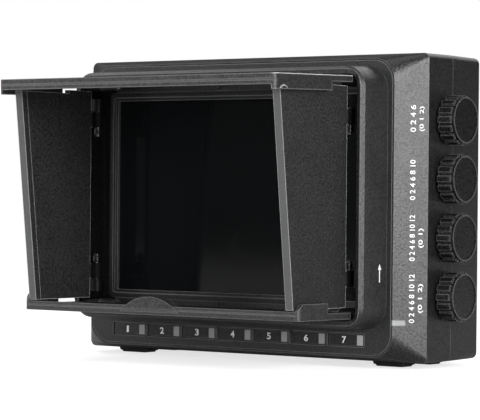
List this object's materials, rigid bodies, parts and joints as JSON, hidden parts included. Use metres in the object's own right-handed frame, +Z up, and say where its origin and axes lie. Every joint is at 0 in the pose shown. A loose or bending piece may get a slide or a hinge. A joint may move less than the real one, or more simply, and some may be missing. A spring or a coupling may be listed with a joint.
{
  "type": "camera field monitor with folding sun hood",
  "caption": "Small camera field monitor with a folding sun hood, a row of lit keys under the screen, ribbed push knobs on one side and a tripod thread below.",
  "frame": {"origin": "under the middle of the whole object, on the plane its feet stand on", "axes": "+X towards the side with the knobs, +Y towards the rear, away from the hood, +Z up"},
  "size_m": [0.1706, 0.1132, 0.1181],
  "materials": {
    "housing": "fine textured charcoal plastic",
    "rear": "fine textured charcoal plastic",
    "hood": "fine textured dark grey plastic",
    "window": "polished dark window",
    "panel": "display module",
    "board": "circuit board lacquer",
    "steel": "plated steel",
    "brass": "machined brass",
    "rubber": "matt rubber",
    "key": "smooth dark plastic",
    "indicator": "translucent grey plastic",
    "knob": "satin black plastic",
    "black": "black moulded socket"
  },
  "bodies": {
    "case": {"front_housing": "housing", "rear_housing": "rear", "front_bezel": "housing", "lcd_window": "window", "lcd_panel": "panel", "lcd_chassis": "steel", "main_board": "board", "key_board": "board", "key_switches": "black", "knob_board": "board", "encoder_bodies": "steel", "power_light_pipe": "indicator", "case_screws": "steel", "feet": "rubber", "tripod_insert": "brass", "hdmi_sockets": "steel", "dc_socket": "black", "phone_socket": "black"},
    "hood": {"hood_frame": "hood", "panel_pins": "steel", "flap_pins": "steel", "flap_springs": "steel"},
    "top_panel": {"hood_top_panel": "hood"},
    "bottom_panel": {"hood_bottom_panel": "hood"},
    "left_flap": {"hood_left_flap": "hood"},
    "right_flap": {"hood_right_flap": "hood"},
    "button_1": {"key_1": "key", "key_light_1": "indicator"},
    "button_2": {"key_2": "key", "key_light_2": "indicator"},
    "button_3": {"key_3": "key", "key_light_3": "indicator"},
    "button_4": {"key_4": "key", "key_light_4": "indicator"},
    "button_5": {"key_5": "key", "key_light_5": "indicator"},
    "button_6": {"key_6": "key", "key_light_6": "indicator"},
    "button_7": {"key_7": "key", "key_light_7": "indicator"},
    "rotor_1": {"encoder_rotor_1": "black"},
    "dial_1": {"knob_1": "knob", "knob_shaft_1": "steel"},
    "rotor_2": {"encoder_rotor_2": "black"},
    "dial_2": {"knob_2": "knob", "knob_shaft_2": "steel"},
    "rotor_3": {"encoder_rotor_3": "black"},
    "dial_3": {"knob_3": "knob", "knob_shaft_3": "steel"},
    "rotor_4": {"encoder_rotor_4": "black"},
    "dial_4": {"knob_4": "knob", "knob_shaft_4": "steel"}
  },
  "joints": [
    {"name": "hood_release", "type": "slide", "parent": "case", "child": "hood", "axis": [0, 0, 1], "range_m": [0, 0.003]},
    {"name": "top_panel_lift", "type": "hinge", "parent": "hood", "child": "top_panel", "pos_m": [-0.00405, -0.00289, 0.1072], "axis": [-1, 0, 0], "range_deg": [0, 8]},
    {"name": "bottom_panel_drop", "type": "hinge", "parent": "hood", "child": "bottom_panel", "pos_m": [-0.00405, -0.00289, 0.0208], "axis": [1, 0, 0], "range_deg": [0, 8]},
    {"name": "left_flap_fold", "type": "hinge", "parent": "hood", "child": "left_flap", "pos_m": [-0.06465, -0.00229, 0.0639], "axis": [0, 0, 1], "range_deg": [0, 86], "stiffness_Nm_per_rad": 0.01},
    {"name": "right_flap_fold", "type": "hinge", "parent": "hood", "child": "right_flap", "pos_m": [0.05655, -0.00229, 0.0639], "axis": [0, 0, -1], "range_deg": [0, 86], "stiffness_Nm_per_rad": 0.01},
    {"name": "key_1_press", "type": "slide", "parent": "case", "child": "button_1", "axis": [0, 1, 0], "range_m": [0, 0.0006], "stiffness_N_per_m": 500},
    {"name": "key_2_press", "type": "slide", "parent": "case", "child": "button_2", "axis": [0, 1, 0], "range_m": [0, 0.0006], "stiffness_N_per_m": 500},
    {"name": "key_3_press", "type": "slide", "parent": "case", "child": "button_3", "axis": [0, 1, 0], "range_m": [0, 0.0006], "stiffness_N_per_m": 500},
    {"name": "key_4_press", "type": "slide", "parent": "case", "child": "button_4", "axis": [0, 1, 0], "range_m": [0, 0.0006], "stiffness_N_per_m": 500},
    {"name": "key_5_press", "type": "slide", "parent": "case", "child": "button_5", "axis": [0, 1, 0], "range_m": [0, 0.0006], "stiffness_N_per_m": 500},
    {"name": "key_6_press", "type": "slide", "parent": "case", "child": "button_6", "axis": [0, 1, 0], "range_m": [0, 0.0006], "stiffness_N_per_m": 500},
    {"name": "key_7_press", "type": "slide", "parent": "case", "child": "button_7", "axis": [0, 1, 0], "range_m": [0, 0.0006], "stiffness_N_per_m": 500},
    {"name": "knob_1_turn", "type": "hinge", "parent": "case", "child": "rotor_1", "pos_m": [0.07725, 0.03301, 0.09325], "axis": [1, 0, 0], "continuous": true},
    {"name": "knob_1_push", "type": "slide", "parent": "rotor_1", "child": "dial_1", "axis": [-1, 0, 0], "range_m": [0, 0.0008], "stiffness_N_per_m": 600},
    {"name": "knob_2_turn", "type": "hinge", "parent": "case", "child": "rotor_2", "pos_m": [0.07725, 0.03301, 0.07115], "axis": [1, 0, 0], "continuous": true},
    {"name": "knob_2_push", "type": "slide", "parent": "rotor_2", "child": "dial_2", "axis": [-1, 0, 0], "range_m": [0, 0.0008], "stiffness_N_per_m": 600},
    {"name": "knob_3_turn", "type": "hinge", "parent": "case", "child": "rotor_3", "pos_m": [0.07725, 0.03301, 0.04905], "axis": [1, 0, 0], "continuous": true},
    {"name": "knob_3_push", "type": "slide", "parent": "rotor_3", "child": "dial_3", "axis": [-1, 0, 0], "range_m": [0, 0.0008], "stiffness_N_per_m": 600},
    {"name": "knob_4_turn", "type": "hinge", "parent": "case", "child": "rotor_4", "pos_m": [0.07725, 0.03301, 0.02695], "axis": [1, 0, 0], "continuous": true},
    {"name": "knob_4_push", "type": "slide", "parent": "rotor_4", "child": "dial_4", "axis": [-1, 0, 0], "range_m": [0, 0.0008], "stiffness_N_per_m": 600}
  ]
}
